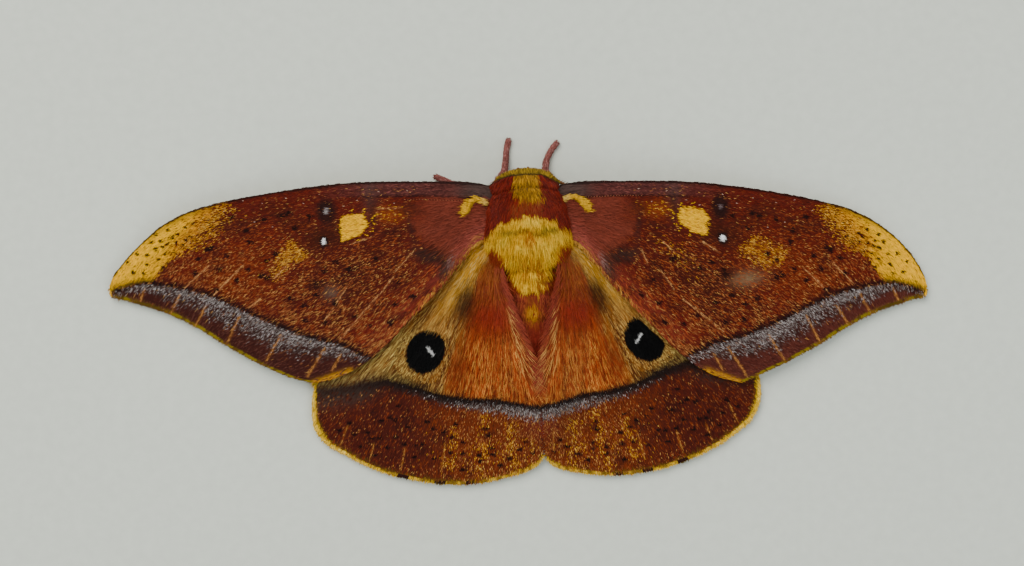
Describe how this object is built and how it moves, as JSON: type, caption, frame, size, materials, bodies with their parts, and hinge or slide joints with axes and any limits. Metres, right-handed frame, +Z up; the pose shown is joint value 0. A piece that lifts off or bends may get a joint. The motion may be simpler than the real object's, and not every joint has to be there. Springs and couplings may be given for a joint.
{
  "type": "moth",
  "caption": "Broad-winged moth resting with wings spread flat, hooked forewing tips, rounded hindwings over the abdomen, hairy thorax and forelegs stretched forward.",
  "frame": {"origin": "middle of the overall box in X and Y, at the floor that the legs and the abdomen's tip rest on", "axes": "+X to the moth's right forewing tip, as seen from above with the head up; +Y forward, to the head; +Z up"},
  "size_m": [0.1211, 0.0511, 0.0132],
  "materials": {
    "rust_wing": "soft rust-red wing scales",
    "orange_wing": "soft orange-brown wing scales and hair",
    "thorax_fur": "dense rust-red hair",
    "collar_fur": "dense olive-yellow hair",
    "abdomen_fur": "dense red-brown hair",
    "leg_scales": "short pinkish mauve hair",
    "head_fur": "short red-brown hair",
    "eye": "dark glossy compound eye",
    "antenna": "satin brown"
  },
  "bodies": {
    "root": {"head": "head_fur", "eye_left": "eye", "eye_right": "eye", "antenna_left": "antenna", "antenna_right": "antenna", "collar": "collar_fur", "thorax": "thorax_fur", "abdomen": "abdomen_fur", "forewing_left": "rust_wing", "forewing_right": "rust_wing", "hindwing_left": "orange_wing", "hindwing_right": "orange_wing", "leg_front_left": "leg_scales", "leg_front_right": "leg_scales", "leg_middle_left": "leg_scales", "leg_middle_right": "leg_scales", "leg_hind_left": "leg_scales", "leg_hind_right": "leg_scales"}
  },
  "joints": []
}
